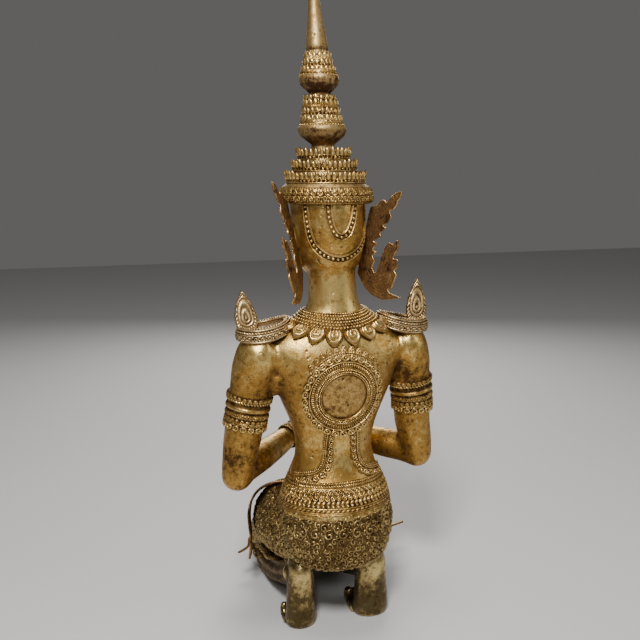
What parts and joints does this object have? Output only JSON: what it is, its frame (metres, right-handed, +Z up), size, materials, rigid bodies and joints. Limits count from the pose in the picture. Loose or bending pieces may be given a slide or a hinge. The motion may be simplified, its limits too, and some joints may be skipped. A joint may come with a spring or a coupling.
{
  "type": "kneeling angel statue",
  "caption": "Kneeling gilt bronze temple angel with joined hands, tall tiered spire crown, flared ear ornaments and upturned shoulder flames.",
  "frame": {"origin": "centre of the bounding box's base, on the ground under the knees and toes", "axes": "+Z up along the crown's spire, -Y the way the figure faces, +X the figure's left"},
  "size_m": [0.206, 0.1984, 0.5993],
  "materials": {
    "gilt_bronze": "old gilding on bronze, warm gold on the raised work and brown in the hollows",
    "worn_gilt": "duller brown gold sheet with bright edges"
  },
  "bodies": {
    "root": {"figure": "gilt_bronze", "crown": "gilt_bronze", "shoulder_ornament_left": "gilt_bronze", "shoulder_ornament_right": "gilt_bronze", "ear_flame_left": "worn_gilt", "ear_flame_right": "worn_gilt", "hip_tail_left": "worn_gilt", "hip_tail_right": "worn_gilt"}
  },
  "joints": []
}
